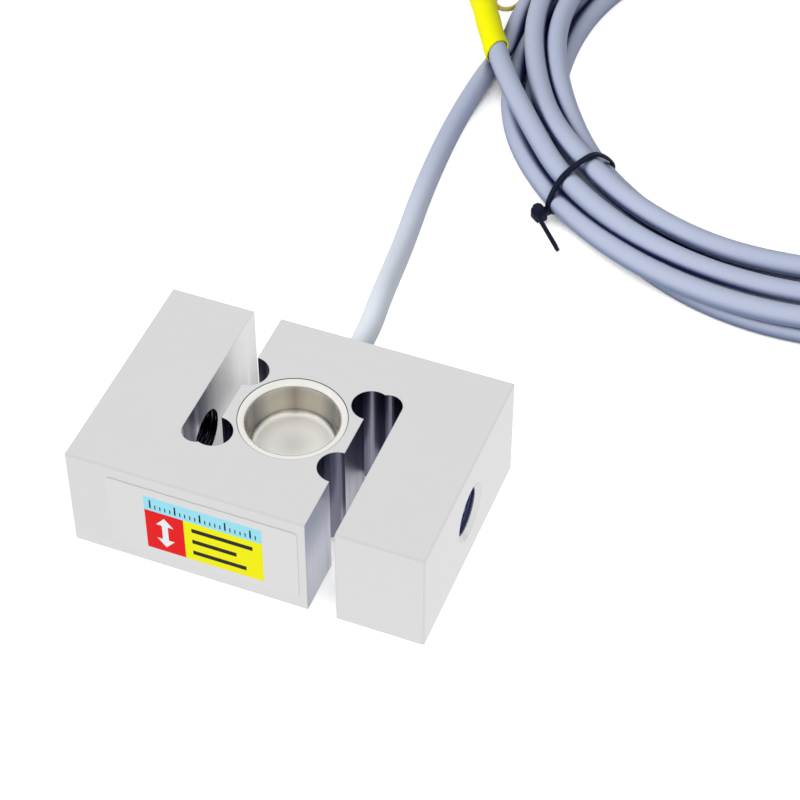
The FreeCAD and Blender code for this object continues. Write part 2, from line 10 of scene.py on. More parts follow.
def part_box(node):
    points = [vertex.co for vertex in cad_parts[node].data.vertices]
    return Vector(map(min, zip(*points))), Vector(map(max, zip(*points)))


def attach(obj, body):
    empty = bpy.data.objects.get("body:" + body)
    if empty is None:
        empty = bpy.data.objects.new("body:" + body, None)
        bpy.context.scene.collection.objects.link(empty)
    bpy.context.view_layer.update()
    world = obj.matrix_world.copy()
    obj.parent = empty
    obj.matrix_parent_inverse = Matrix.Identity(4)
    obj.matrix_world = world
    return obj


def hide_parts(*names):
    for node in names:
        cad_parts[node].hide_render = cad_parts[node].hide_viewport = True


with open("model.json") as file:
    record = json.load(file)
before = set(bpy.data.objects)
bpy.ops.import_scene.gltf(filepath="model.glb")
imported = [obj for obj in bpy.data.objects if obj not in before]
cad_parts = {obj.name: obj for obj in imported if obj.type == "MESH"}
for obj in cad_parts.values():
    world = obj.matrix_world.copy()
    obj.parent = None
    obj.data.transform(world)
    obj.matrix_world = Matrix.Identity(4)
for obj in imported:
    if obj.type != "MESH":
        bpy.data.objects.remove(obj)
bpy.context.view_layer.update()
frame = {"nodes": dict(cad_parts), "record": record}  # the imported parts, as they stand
nodes = frame["nodes"]
scene = bpy.context.scene
mm = 0.001
print("frame loaded:", len(nodes), "parts")


# Small helpers for meshes.

def inMetres(points):
    return [tuple(value * mm for value in point) for point in points]


def linkMesh(name, mesh, material=None):
    piece = bpy.data.objects.new(name, mesh)
    scene.collection.objects.link(piece)
    if material is not None:
        mesh.materials.clear()
        mesh.materials.append(material)
    return piece


def makeSmooth(mesh, smooth=True):
    mesh.polygons.foreach_set("use_smooth", [smooth] * len(mesh.polygons))


def meshFrom(shape, mesh):
    shape.to_mesh(mesh)
    shape.free()
    return mesh


def meshPiece(name, points, faces, material=None, smooth=True):
    mesh = bpy.data.meshes.new(name)
    mesh.from_pydata([tuple(p) for p in points], [], faces)
    shape = bmesh.new()
    shape.from_mesh(mesh)
    bmesh.ops.remove_doubles(shape, verts=shape.verts, dist=1e-7)
    bmesh.ops.recalc_face_normals(shape, faces=shape.faces)
    makeSmooth(meshFrom(shape, mesh), smooth)
    return linkMesh(name, mesh, material)


def ringFaces(rows, around, closeRows=False, capped=False):
    faces = []
    for row in range(rows if closeRows else rows - 1):
        after = (row + 1) % rows
        for step in range(around):
            side = (step + 1) % around
            faces.append((row * around + step, row * around + side,
                          after * around + side, after * around + step))
    if capped:
        faces.append(tuple(range(around)))
        faces.append(tuple((rows - 1) * around + step for step in range(around)))
    return faces


def lathe(name, profile, around, centre, material=None):
    points = []
    for radius, height in profile:
        for step in range(around):
            turn = 2 * math.pi * step / around
            points.append(((centre[0] + radius * math.cos(turn)) * mm,
                           (centre[1] + radius * math.sin(turn)) * mm,
                           (centre[2] + height) * mm))
    return meshPiece(name, points, ringFaces(len(profile), around, closeRows=True), material)


def settle(piece):
    graph = bpy.context.evaluated_depsgraph_get()
    mesh = bpy.data.meshes.new_from_object(piece.evaluated_get(graph))
    piece.modifiers.clear()
    piece.data = mesh
    return piece


def addModifier(piece, kind, **values):
    modifier = piece.modifiers.new(kind.title(), kind)
    for key, value in values.items():
        setattr(modifier, key, value)
    return modifier


# Small helpers for materials.

def fill(tree, sockets, values):
    for key, value in values.items():
        if isinstance(value, bpy.types.NodeSocket):
            tree.links.new(value, sockets[key])
        else:
            sockets[key].default_value = value


def addNode(tree, kind, values=None, **settings):
    made = tree.nodes.new(kind)
    for key, value in settings.items():
        setattr(made, key, value)
    fill(tree, made.inputs, values or {})
    return made


def ramp(tree, factor, stops):
    made = addNode(tree, "ShaderNodeValToRGB", {"Fac": factor})
    line = made.color_ramp
    while len(line.elements) < len(stops):
        line.elements.new(0.5)
    for element, (place, value) in zip(line.elements, stops):
        element.position = place
        plain = isinstance(value, (int, float))
        element.color = (value, value, value, 1) if plain else (*value, 1)
    return made.outputs["Color"]


def opaque(colour):
    return colour if isinstance(colour, bpy.types.NodeSocket) else (*colour, 1)


def blended(tree, factor, first, second, mode="MIX"):
    colours = {0: factor, 6: opaque(first), 7: opaque(second)}
    return addNode(tree, "ShaderNodeMix", colours, data_type="RGBA", blend_type=mode).outputs[2]


def calc(tree, operation, first, second=0.0):
    return addNode(tree, "ShaderNodeMath", {0: first, 1: second}, operation=operation).outputs[0]


def product(tree, first, *others):
    for other in others:
        first = calc(tree, "MULTIPLY", first, other)
    return first


def total(tree, first, second):
    return calc(tree, "ADD", first, second)


def axes(tree, vector):
    return addNode(tree, "ShaderNodeSeparateXYZ", {0: vector}).outputs


def grey(tree, value):
    return addNode(tree, "ShaderNodeCombineColor", {0: value, 1: value, 2: value}).outputs[0]


def easedSpan(tree, value, start, end, low=0.0, high=1.0):
    limits = {"Value": value, "From Min": start, "From Max": end, "To Min": low, "To Max": high}
    return addNode(tree, "ShaderNodeMapRange", limits, interpolation_type="SMOOTHSTEP").outputs["Result"]


def noise(tree, **values):
    return addNode(tree, "ShaderNodeTexNoise", values).outputs["Fac"]


def newGroup(name, inputs, outputs, kind="ShaderNodeTree"):
    tree = bpy.data.node_groups.new(name, kind)
    for label, socket, value in inputs:
        made = tree.interface.new_socket(label, in_out="INPUT", socket_type=socket)
        if value is not None:
            made.default_value = value
    for label, socket in outputs:
        tree.interface.new_socket(label, in_out="OUTPUT", socket_type=socket)
    return tree, tree.nodes.new("NodeGroupInput").outputs, tree.nodes.new("NodeGroupOutput").inputs


floatKind, vectorKind, colourKind = "NodeSocketFloat", "NodeSocketVector", "NodeSocketColor"


groupValues = {
    "fineShare": 0.55,
    "broadShare": 0.45,
    "broadScale": 38.0,
    "bevelSamples": 6,
    "edgeGain": 6.0,
    "skySamples": 12,
}


def makeGrainGroup(values):
    tree, given, result = newGroup(
        "surfaceGrain",
        [("Vector", vectorKind, None), ("Scale", floatKind, 900.0), ("Stretch", vectorKind, (1, 1, 1)),
         ("Roughness", floatKind, 0.3), ("Spread", floatKind, 0.08),
         ("Tint", colourKind, (0.5, 0.5, 0.5, 1)), ("Tint Spread", floatKind, 0.03)],
        [("Height", floatKind), ("Roughness", floatKind), ("Color", colourKind)])
    place = addNode(tree, "ShaderNodeVectorMath", {0: given["Vector"], 1: given["Stretch"]},
                    operation="MULTIPLY")
    fine = noise(tree, Vector=place.outputs[0], Scale=given["Scale"], Detail=3.0, Roughness=0.6)
    broad = noise(tree, Vector=given["Vector"], Scale=values["broadScale"], Detail=2.0)
    both = total(tree, product(tree, fine, values["fineShare"]), product(tree, broad, values["broadShare"]))
    offset = calc(tree, "SUBTRACT", both, 0.5)
    rough = total(tree, given["Roughness"], product(tree, offset, given["Spread"]))
    shade = total(tree, 1.0, product(tree, offset, given["Tint Spread"]))
    tinted = addNode(tree, "ShaderNodeVectorMath", {0: given["Tint"], "Scale": shade}, operation="SCALE")
    fill(tree, result, {"Height": fine, "Roughness": rough, "Color": tinted.outputs[0]})
    return tree


# A mask along the edges, for a painted line of another tone there.
def makeEdgeGroup(values):
    tree, given, result = newGroup(
        "paintedEdgeLine", [("Radius", floatKind, 0.0003), ("Strength", floatKind, 1.0)], [("Mask", floatKind)])
    soft = addNode(tree, "ShaderNodeBevel", {"Radius": given["Radius"]}, samples=values["bevelSamples"])
    plain = addNode(tree, "ShaderNodeNewGeometry")
    turn = addNode(tree, "ShaderNodeVectorMath", {0: soft.outputs["Normal"], 1: plain.outputs["Normal"]},
                   operation="DOT_PRODUCT")
    away = product(tree, calc(tree, "SUBTRACT", 1.0, turn.outputs["Value"]), values["edgeGain"],
                   given["Strength"])
    fill(tree, result, {"Mask": addNode(tree, "ShaderNodeClamp", {"Value": away}).outputs[0]})
    return tree


def makeSkyGroup(values):
    tree, given, result = newGroup(
        "openSky",
        [("Distance", floatKind, 0.004), ("Closed", floatKind, 0.3), ("Open", floatKind, 0.75)],
        [("Mask", floatKind)])
    sky = addNode(tree, "ShaderNodeAmbientOcclusion", {"Distance": given["Distance"]},
                  samples=values["skySamples"])
    fill(tree, result, {"Mask": easedSpan(tree, sky.outputs["AO"], given["Closed"], given["Open"])})
    return tree


grainGroup = makeGrainGroup(groupValues)
edgeGroup = makeEdgeGroup(groupValues)
skyGroup = makeSkyGroup(groupValues)


def grainOf(tree):
    return next(node for node in tree.nodes if node.type == "GROUP" and node.node_tree == grainGroup)


def newMaterial(name):
    material = bpy.data.materials.new(name)
    material.use_nodes = True
    tree = material.node_tree
    return material, tree, tree.nodes["Principled BSDF"].inputs


def openness(tree, **values):
    return addNode(tree, "ShaderNodeGroup", values, node_tree=skyGroup).outputs["Mask"]


def surface(name, colour, roughness, metallic=0.0, scale=900.0, stretch=(1, 1, 1), spread=0.1,
            tintSpread=0.06, bump=0.05, depth=0.02, edge=None, creviceShade=None, **shader):
    material, tree, shade = newMaterial(name)
    place = addNode(tree, "ShaderNodeTexCoord").outputs["Object"]
    grain = addNode(tree, "ShaderNodeGroup",
                    {"Vector": place, "Scale": scale, "Stretch": stretch, "Roughness": roughness,
                     "Spread": spread, "Tint": (*colour, 1), "Tint Spread": tintSpread},
                    node_tree=grainGroup).outputs
    relief = addNode(tree, "ShaderNodeBump",
                     {"Height": grain["Height"], "Strength": bump, "Distance": depth * mm})
    tone = grain["Color"]
    if edge is not None:  # a line of another tone is painted along the edges
        edgeLine = addNode(tree, "ShaderNodeGroup", {"Radius": edge[1] * mm}, node_tree=edgeGroup)
        tone = blended(tree, edgeLine.outputs["Mask"], tone, edge[0])
    if creviceShade is not None:  # painted shade: narrow gaps are painted dark by an occlusion mask
        tone = blended(tree, openness(tree, Distance=creviceShade[1] * mm), creviceShade[0], tone)
    fill(tree, shade, {"Base Color": tone, "Metallic": metallic, "Roughness": grain["Roughness"],
                       "Normal": relief.outputs["Normal"]})
    fill(tree, shade, {key.replace("_", " "): value for key, value in shader.items()})
    return material


# Camera, floor and lights.

cameraValues = {
    "place": (142.25, -305.61, 381.53),
    "turn": 21.314,
    "height": 46.203,
    "roll": 0.114,
    "lens": 110.42,
    "sensor": 36.0,
}

lightValues = {
    "worldShown": 1.0,
    "worldLight": 0.36,
    "worldTint": (0.80, 0.89, 1.0),
    "floorGlow": 0.86,
    "floorMirrored": 1.06,  # what metal sees of the floor
    "floorColour": 0.36,
    "floorBounce": 0.30,
    "floorHalf": 2500.0,
    # painted shade: the floor is darkened and tinted in narrow gaps under the cable
    "paintedGapShade": (0.01, 0.015, 0.07),
    "gapReach": 12.0,
    "gapClosed": 0.05,
    "gapOpen": 0.33,
    "keyPlace": (-620, -260, 620),
    "keySize": 620.0,
    "keyPower": 7.0,
    "fillPlace": (420, -520, 520),
    "fillSize": 520.0,
    "fillPower": 4.6,
    "aim": (20, 60, 10),
}


def makeCamera(values):
    lens = bpy.data.cameras.new("view_camera")
    lens.lens, lens.sensor_width = values["lens"], values["sensor"]
    lens.clip_start, lens.clip_end = 0.01, 20.0
    camera = bpy.data.objects.new("view_camera", lens)
    scene.collection.objects.link(camera)
    turn = (Matrix.Rotation(math.radians(values["turn"]), 4, "Z")
            @ Matrix.Rotation(math.radians(90 - values["height"]), 4, "X")
            @ Matrix.Rotation(math.radians(values["roll"]), 4, "Z"))
    camera.matrix_world = Matrix.Translation(Vector(values["place"]) * mm) @ turn
    scene.camera = camera


def seenDirectly(tree):
    path = addNode(tree, "ShaderNodeLightPath")
    seen = calc(tree, "MAXIMUM", path.outputs["Is Camera Ray"], path.outputs["Is Glossy Ray"])
    return calc(tree, "MAXIMUM", seen, path.outputs["Is Transmission Ray"])


def makeFloor(values):
    half = values["floorHalf"]
    corners = inMetres([(-half, -half, 0), (half, -half, 0), (half, half, 0), (-half, half, 0)])
    floor = meshPiece("studio_floor", corners, [(0, 1, 2, 3)], smooth=False)
    material, tree, shade = newMaterial("floorWhite")
    seen = seenDirectly(tree)
    mirror = addNode(tree, "ShaderNodeLightPath").outputs["Is Glossy Ray"]
    eye = calc(tree, "SUBTRACT", seen, mirror)
    bounced = product(tree, calc(tree, "SUBTRACT", 1.0, seen), values["floorBounce"])
    colour = total(tree, bounced, product(tree, eye, values["floorColour"]))
    # painted shade: an occlusion mask dims the floor's glow and tints it dark in narrow gaps
    gap = openness(tree, Distance=values["gapReach"] * mm, Closed=values["gapClosed"],
                   Open=values["gapOpen"])
    direct = product(tree, eye, values["floorGlow"], gap)
    shown = total(tree, direct, product(tree, mirror, values["floorMirrored"]))
    fill(tree, shade, {"Roughness": 0.9, "Specular IOR Level": 0.0, "Emission Strength": 1.0,
                       "Base Color": blended(tree, gap, values["paintedGapShade"], grey(tree, colour)),
                       "Emission Color": grey(tree, shown)})
    floor.data.materials.append(material)


def makeWorld(values):
    world = bpy.data.worlds.new("studio")
    scene.world = world
    world.use_nodes = True
    tree = world.node_tree
    seen = seenDirectly(tree)
    strength = total(tree, values["worldLight"],
                     product(tree, seen, values["worldShown"] - values["worldLight"]))
    fill(tree, tree.nodes["Background"].inputs,
         {"Strength": strength, "Color": blended(tree, seen, values["worldTint"], (1, 1, 1))})


def makeLamp(name, place, size, power, aim):
    lamp = bpy.data.lights.new(name, "AREA")
    lamp.shape = "SQUARE"
    lamp.size = size * mm
    lamp.energy = power
    shown = bpy.data.objects.new(name, lamp)
    scene.collection.objects.link(shown)
    shown.visible_glossy = False  # metal mirrors the white room, not the lamps
    shown.location = Vector(place) * mm
    shown.rotation_mode = "QUATERNION"
    shown.rotation_quaternion = (Vector(aim) - Vector(place)).to_track_quat("-Z", "Y")


makeCamera(cameraValues)
makeFloor(lightValues)
makeWorld(lightValues)
for side in ("key", "fill"):
    makeLamp(side + "_lamp", lightValues[side + "Place"], lightValues[side + "Size"],
             lightValues[side + "Power"], lightValues["aim"])
scene.view_settings.view_transform = "Standard"
print("camera, floor and lamps placed")


# The signal cable: out of the gland, six turns through the tie, and up to the marked end.

cableValues = {
    "diameter": 5.0,
    "length": 2940.0,
    "step": 15.0,  # degrees between two points of a turn
    "coilX": 72.0,
    "coilY": 165.5,
    "tieAngle": 229.0,
    "lead": [(0, 32.4, 12.7), (0, 40.5, 12.7), (-1.9, 52, 11.3), (-4.3, 64.5, 7), (-6.9, 79.5, 3.1),
             (-9.7, 99, 2.5), (-11.3, 122, 2.5), (-10.9, 143.5, 2.5), (-9.2, 155.5, 2.5),
             (-10.5, 169, 2.5)],
    "tail": [(11.5, 117.8, 9.4), (-5, 137.9, 10.5), (-16.1, 159.6, 6.8)],
    # Each turn: degrees past the tie, distance from the coil's middle, height.
    "turns": [
        [(60, 83, 2.5), (80, 82.6, 2.5), (140, 82, 2.5), (230, 82.2, 2.5), (300, 82.4, 2.5),
         (322, 81, 2.5), (335, 78.6, 2.5), (345, 76.5, 2.8), (353, 75.1, 3.3), (360, 74.7, 3.5)],
        [(0, 74.7, 3.5), (9, 74.8, 3), (18, 74.7, 2.5), (28, 73.7, 2.5), (45, 72.1, 2.5), (70, 72, 2.5),
         (140, 72.2, 2.5), (230, 72.4, 2.5), (310, 72, 2.5), (330, 71.6, 2.5), (345, 70.3, 2.9),
         (353, 69.7, 3.3), (360, 69.6, 3.5)],
        [(0, 69.6, 3.5), (9, 69.6, 3), (18, 69.2, 2.5), (31, 67.9, 2.5), (48, 66.8, 2.5),
         (63, 66.8, 2.5), (100, 66.8, 2.5), (180, 66.6, 2.5), (260, 66, 2.5), (310, 65.2, 2.5),
         (330, 65.6, 3.3), (341, 66.3, 5), (350, 67, 6.9), (358.5, 67.4, 7.9), (360, 67.4, 7.9)],
        [(0, 67.4, 7.9), (9, 66.7, 7.6), (17, 66.1, 7.3), (24, 66.4, 7.3), (31, 67.5, 7.4),
         (38.5, 69.1, 7.5), (48.7, 70.7, 7.5), (57, 72, 7.5), (80, 72, 7.5), (120, 69.8, 7.5),
         (200, 67.2, 7.5), (260, 66.4, 7.5), (310, 66.3, 7.6), (326.6, 68.5, 8.6),
         (339.5, 70.3, 10.1), (350, 70.8, 11.1), (357, 70.8, 11.4), (360, 70.9, 11.4)],
        [(0, 70.9, 11.4), (5, 71.4, 10.9), (16.3, 71.6, 9.3), (30, 72.4, 7.6), (42, 75, 7.5),
         (55, 79, 7.5), (75, 80.9, 7.5), (120, 81.6, 7.5), (230, 82, 7.5), (300, 82.5, 7.5),
         (322, 82.3, 7.3), (341, 81, 6.2), (353, 80.1, 4.9), (360, 79.6, 4.25)],
        [(0, 79.6, 4.25), (8.7, 80, 4.1), (15, 79.7, 3.6), (22, 79.9, 3), (28, 79.3, 2.5),
         (41, 76.7, 2.5), (60, 77, 2.5), (90, 77.2, 2.9), (115, 76.6, 5.4), (140, 75.8, 7.2),
         (200, 75.2, 7.5), (260, 75.2, 7.5), (310, 75.1, 7.5), (323, 75.4, 7.8), (337, 76.3, 8.4),
         (350, 76.8, 9), (360, 76.8, 9.2)],
    ],
}


def eased(stations, travel):
    last = len(stations) - 1
    start = next((n for n in range(last) if travel <= stations[n + 1][0]), last - 1)
    span = stations[start + 1][0] - stations[start][0]
    part = (travel - stations[start][0]) / span

    def slope(at, column):
        before, after = max(at - 1, 0), min(at + 1, last)
        rise = stations[after][column] - stations[before][column]
        return rise / (stations[after][0] - stations[before][0])

    return [(2 * part**3 - 3 * part**2 + 1) * stations[start][column]
            + (part**3 - 2 * part**2 + part) * span * slope(start, column)
            + (3 * part**2 - 2 * part**3) * stations[start + 1][column]
            + (part**3 - part**2) * span * slope(start + 1, column) for column in (1, 2)]


def turnPoints(values):
    step = values["step"]
    outward = 8 / (6 + 2 * math.cos(math.radians(step)))  # a control ring lies outside its curve

    def place(travel, radius, height):
        angle = math.radians(values["tieAngle"] - travel)
        return (values["coilX"] + radius * outward * math.cos(angle),
                values["coilY"] + radius * outward * math.sin(angle), max(height, values["diameter"] / 2))

    points = []
    for stations in values["turns"]:
        travel = math.ceil(stations[0][0] / step) * step
        while travel < 360:
            radius, height = eased(stations, travel)
            points.append(place(travel, radius, height))
            travel += step
    radius, height = values["turns"][-1][-1][1:]
    return points + [place(0, radius, height)]


def cordCurve(name, points, radius, material, steps=6, fineness=8):
    curve = bpy.data.curves.new(name, "CURVE")
    curve.dimensions = "3D"
    curve.bevel_depth = radius * mm
    curve.bevel_resolution = fineness
    curve.use_fill_caps = True
    line = curve.splines.new("NURBS")
    line.points.add(len(points) - 1)
    for point, place in zip(line.points, inMetres(points)):
        point.co = (*place, 1)
    line.order_u = 3
    line.use_endpoint_u = True
    line.resolution_u = steps
    line.use_smooth = True
    curve.materials.append(material)
    piece = bpy.data.objects.new(name, curve)
    scene.collection.objects.link(piece)
    return piece


cableTones = {
    # painted light: the lead near the body is painted paler than the coil
    "paintedLightNearBody": (0.71, 0.735, 0.775),
    "nearEnd": 0.045,
    "coil": (0.405, 0.435, 0.55),
    "coilStart": 0.125,
    "sideways": 4.0,
    # painted shade in the crevices between the strands
    "creviceShade": (0.004, 0.009, 0.085),
    "creviceShadeReach": 4.2,
    # painted shade on the strands' undersides
    "paintedUnderShade": (0.13, 0.19, 0.36),
    "underShadeFrom": 0.55,
    "underShadeTo": -0.25,
    "underShadeShare": 0.75,
    "roughness": 0.46,
}


def cableSurface(values):
    material = surface("cableSkin", values["coil"], values["roughness"], scale=2600, spread=0.18,
                       tintSpread=0.10, bump=0.10, depth=0.02,
                       creviceShade=(values["creviceShade"], values["creviceShadeReach"]),
                       Sheen_Weight=0.05, Sheen_Roughness=0.4, Specular_IOR_Level=0.2)
    tree = material.node_tree
    # painted light: the cable is painted paler towards the body
    place = axes(tree, addNode(tree, "ShaderNodeTexCoord").outputs["Object"])
    aside = product(tree, calc(tree, "MAXIMUM", place["X"], 0.0), values["sideways"])
    along = easedSpan(tree, total(tree, place["Y"], aside), values["nearEnd"], values["coilStart"])
    # painted shade: the strands' undersides are painted darker and bluer by where their normals face
    facing = axes(tree, addNode(tree, "ShaderNodeNewGeometry").outputs["Normal"])
    underShade = easedSpan(tree, facing["Z"], values["underShadeFrom"], values["underShadeTo"],
                      high=values["underShadeShare"])
    coil = blended(tree, underShade, values["coil"], values["paintedUnderShade"])
    fill(tree, grainOf(tree).inputs, {"Tint": blended(tree, along, values["paintedLightNearBody"], coil)})
    return material


cableSkin = cableSurface(cableTones)
signalCable = cordCurve("signal_cable", cableValues["lead"] + turnPoints(cableValues) + cableValues["tail"],
                        cableValues["diameter"] / 2, cableSkin)
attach(signalCable, "root")
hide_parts("cable_lead", "cable_coil", "cable_tail")
print("signal cable wound")


# Shared finishes.

coverPaintedLight = {
    "middleHeight": 0.0127,
    "fullHeight": 0.0127,
    "fullRadius": 0.0112,
    # share of the height from the body's middle, tone, with painted shade darkening the inner wall
    "rise": [(0.40, (1.0, 0.985, 0.94)), (0.43, (0.46, 0.43, 0.37)), (0.50, (0.51, 0.475, 0.41)),
             (0.74, (0.56, 0.52, 0.445)), (0.88, (0.62, 0.58, 0.51)), (0.955, (0.82, 0.80, 0.755))],
    # share of the radius, brightness of the floor, with a painted reflection darkening its middle
    "floor": [(0.0, 0.76), (0.14, 0.80), (0.42, 0.98), (0.70, 1.0), (0.80, 0.90)],
    # share of the way aside from the bearing, tint of the wall, with painted reflections darkening its
    # middle and its sides
    "aside": [(0.0, (0.62, 0.61, 0.62)), (0.12, (0.82, 0.81, 0.80)), (0.27, (1.0, 1.0, 0.99)),
              (0.55, (1.0, 1.0, 0.99)), (0.86, (0.42, 0.43, 0.50)), (0.97, (0.60, 0.60, 0.64))],
    "bearing": 21.0,
    "lip": 0.925,
    "floorTop": 0.405,
    "roughness": 0.25,
    "floorRougher": 0.3,
}


# The covers' colour carries painted light: painted shade on the inner wall, painted reflections on the floor
# and wall.
def coverSurface(values):
    material = surface("champagneSteel", (0.76, 0.742, 0.705), values["roughness"], metallic=0.82, scale=900,
                       spread=0.10, tintSpread=0.03, bump=0.02)
    tree = material.node_tree
    place = axes(tree, addNode(tree, "ShaderNodeTexCoord").outputs["Object"])
    rise = calc(tree, "ABSOLUTE", calc(tree, "SUBTRACT", place["Z"], values["middleHeight"]))
    tone = ramp(tree, calc(tree, "DIVIDE", rise, values["fullHeight"]), values["rise"])
    squares = [calc(tree, "POWER", place[axis], 2.0) for axis in ("X", "Y")]
    across = calc(tree, "SQRT", total(tree, *squares))
    paintedFloorShading = ramp(tree, calc(tree, "DIVIDE", across, values["fullRadius"]), values["floor"])
    low = calc(tree, "LESS_THAN", rise, values["fullHeight"] * values["floorTop"])
    rougher = total(tree, values["roughness"], product(tree, low, values["floorRougher"]))
    fill(tree, grainOf(tree).inputs, {"Roughness": rougher})
    bearing = math.radians(values["bearing"])
    aside = total(tree, product(tree, place["X"], math.cos(bearing)),
                  product(tree, place["Y"], math.sin(bearing)))
    share = calc(tree, "DIVIDE", calc(tree, "ABSOLUTE", aside), across)
    wall = calc(tree, "LESS_THAN", rise, values["fullHeight"] * values["lip"])
    paintedSideReflection = blended(tree, 1.0, tone, ramp(tree, share, values["aside"]), mode="MULTIPLY")
    tinted = blended(tree, wall, tone, paintedSideReflection)
    shaded = blended(tree, low, tinted, blended(tree, 1.0, tone, paintedFloorShading, mode="MULTIPLY"))
    fill(tree, tree.nodes["Principled BSDF"].inputs, {"Base Color": shaded})
    return material


# Painted shade: the slots' insides are painted dark, with streaks along the milling whose light tone is
# partly painted reflection, and paler mouths.
slotPaintedShade = {
    "dark": (0.035, 0.037, 0.075),
    "middle": (0.17, 0.17, 0.23),
    "streak": (0.55, 0.55, 0.60),
    "mouth": (0.74, 0.74, 0.735),
    "mouthRightShade": (0.52, 0.545, 0.635),
    "mouthDull": 0.15,
    "notchEdge": 0.01322,
    "mouthStart": -0.007,
    "mouthEnd": 0.012,
    "mouthShare": 0.95,
    "deepEnd": 0.0,
    "deepStart": 0.018,
    "deepShare": 0.45,
    "streakStops": (0.38, 0.52, 0.60, 0.68),
    "streakScale": 300.0,
    "streakStretch": (1, 1, 0.02),
    "roughness": 0.24,
}


def slotSurface(values):
    material = surface("milledSlotPaintedShade", values["middle"], values["roughness"], metallic=1.0, scale=1100,
                       stretch=(1, 1, 0.04), spread=0.2, tintSpread=0.5, bump=0.16)
    tree = material.node_tree
    whole = addNode(tree, "ShaderNodeTexCoord").outputs["Object"]
    stretched = addNode(tree, "ShaderNodeVectorMath", {0: whole, 1: values["streakStretch"]},
                        operation="MULTIPLY")
    streaks = noise(tree, Vector=stretched.outputs[0], Scale=values["streakScale"], Detail=2.0)
    tones = [values[name] for name in ("dark", "middle", "middle", "streak")]
    tone = ramp(tree, streaks, list(zip(values["streakStops"], tones)))
    place = axes(tree, whole)  # painted light: each slot is painted paler towards its open end and its top, darker with painted shade in its depth
    inward = product(tree, calc(tree, "SIGN", place["X"]), -1.0, place["Y"])
    towardsMouth = easedSpan(tree, inward, values["mouthStart"], values["mouthEnd"],
                             high=values["mouthShare"])
    upwards = easedSpan(tree, place["Z"], values["deepEnd"], values["deepStart"], low=values["deepShare"])
    wall = calc(tree, "GREATER_THAN", calc(tree, "ABSOLUTE", place["X"]), values["notchEdge"])
    paintedMouthLight = product(tree, towardsMouth, upwards, wall)
    metal = calc(tree, "SUBTRACT", 1.0, product(tree, paintedMouthLight, values["mouthDull"]))
    # painted shade: the right slot's mouth is painted bluer and darker than the left one
    right = calc(tree, "GREATER_THAN", place["X"], 0.0)
    mouth = blended(tree, right, values["mouth"], values["mouthRightShade"])
    fill(tree, tree.nodes["Principled BSDF"].inputs,
         {"Metallic": metal, "Base Color": blended(tree, paintedMouthLight, tone, mouth)})
    return material


# painted shade: the body's edges carry a painted dark line
nickel = surface("satinNickel", (0.70, 0.70, 0.705), 0.34, metallic=1.0, scale=1400, stretch=(0.08, 1, 1),
                 spread=0.16, tintSpread=0.04, bump=0.06, edge=((0.50, 0.50, 0.515), 0.3))
slotShadedNickel = slotSurface(slotPaintedShade)
# painted shade: the threads are painted darker and bluer than the nickel, the left ones in their slot darker
# still
threadPaintedShade = surface("cutThreadPaintedShade", (0.27, 0.29, 0.46), 0.24, metallic=1.0, scale=2000, bump=0.08)
threadPaintedDeepShade = surface("slotThreadPaintedShade", (0.10, 0.105, 0.14), 0.2, metallic=1.0, scale=2000, bump=0.08)
champagne = coverSurface(coverPaintedLight)
tieNylon = surface("tieNylon", (0.003, 0.005, 0.016), 0.5, scale=1500, spread=0.2, bump=0.05,
                   Specular_IOR_Level=0.14)
sleeveYellow = surface("sleeveYellow", (0.92, 0.87, 0.0), 0.55, scale=1400, bump=0.08,
                       Specular_IOR_Level=0.06)
coreTones = {"red": (0.62, 0.02, 0.02), "black": (0.015, 0.015, 0.017), "green": (0.02, 0.30, 0.06),
             "white": (0.82, 0.82, 0.80), "yellow": (0.85, 0.64, 0.09)}
coreFinishes = {"core_" + name: surface("core" + name.title(), tone, 0.4, scale=3000)
                for name, tone in coreTones.items()}
labelSilver = surface("labelSilver", (0.72, 0.72, 0.72), 0.40, metallic=1.0, scale=1500, bump=0.04)
slotFinishes = {
    "nickel_body": nickel, "champagne_cup": champagne, "cable_grey": cableSkin, "tie_black": tieNylon,
    "sleeve_yellow": sleeveYellow, "label_silver": labelSilver, **coreFinishes,
    # the gland's edges are painted a lighter tone
    "gland_nickel": surface("brightNickel", (0.70, 0.69, 0.67), 0.22, metallic=1.0, scale=900, bump=0.04,
                            edge=((0.88, 0.87, 0.85), 0.25)),
    "gauge_foil": surface("gaugeFoil", (0.72, 0.52, 0.22), 0.35, metallic=0.2, scale=1600),
    "wire_copper": surface("bareCopper", (0.80, 0.42, 0.22), 0.30, metallic=1.0, scale=2000),
    "board_green": surface("boardGreen", (0.02, 0.16, 0.06), 0.35, scale=1800, Coat_Weight=0.5),
    "chip_black": surface("chipBlack", (0.02, 0.02, 0.022), 0.45, scale=2500),
    "seal_rubber": surface("sealRubber", (0.025, 0.025, 0.027), 0.62, scale=1800, bump=0.15),
}
for part in frame["record"]["subparts"]:
    shown = nodes[part["node"]]
    finish = slotFinishes[part["material_slot"]]
    if shown.material_slots:
        for place in shown.material_slots:
            place.material = finish
    else:
        shown.data.materials.append(finish)
print("finishes given to", len(nodes), "parts")

# The S-beam: the imported block with broken edges, milled slots painted dark with painted shade, and real
# threads.

